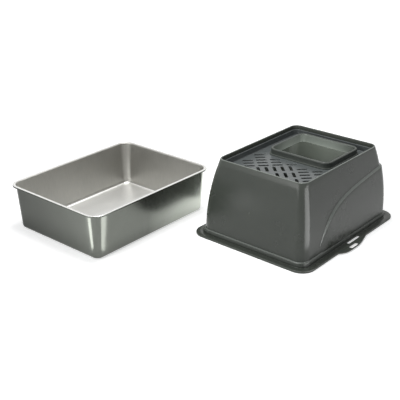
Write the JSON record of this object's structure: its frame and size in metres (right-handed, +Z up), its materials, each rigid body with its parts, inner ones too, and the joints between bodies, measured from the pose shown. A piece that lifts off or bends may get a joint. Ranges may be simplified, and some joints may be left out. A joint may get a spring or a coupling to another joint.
{
  "type": "top entry litter box",
  "caption": "Deep steel litter pan beside a moulded hood with a flange, ears, a slotted drop-in deck and a framed top entry.",
  "frame": {"origin": "centre of the whole group's footprint, on the floor that the pan and the hood both stand on", "axes": "+Z up; +X along the long side of the pan and of the hood, from the slotted end to the entry end; +Y across them, from the hood towards the pan"},
  "size_m": [0.834, 0.875, 0.238],
  "materials": {
    "pan_steel": "satin drawn stainless steel, brighter along the rim",
    "hood_plastic": "fine-textured dark grey moulding with a soft sheen",
    "deck_plastic": "fine-textured dark grey moulding",
    "collar_plastic": "smoother dark grey moulding, brighter along its bead"
  },
  "bodies": {
    "pan": {"pan": "pan_steel"},
    "hood": {"hood_shell": "hood_plastic"},
    "deck": {"step_deck": "deck_plastic"},
    "collar": {"entry_collar": "collar_plastic"}
  },
  "joints": [
    {"name": "hood_lift", "type": "slide", "parent": "pan", "child": "hood", "axis": [0, 0, 1], "range_m": [0, 0.25]},
    {"name": "deck_lift", "type": "slide", "parent": "hood", "child": "deck", "axis": [0, 0, 1], "range_m": [0, 0.08]},
    {"name": "collar_lift", "type": "slide", "parent": "deck", "child": "collar", "axis": [0, 0, 1], "range_m": [0, 0.06]}
  ]
}
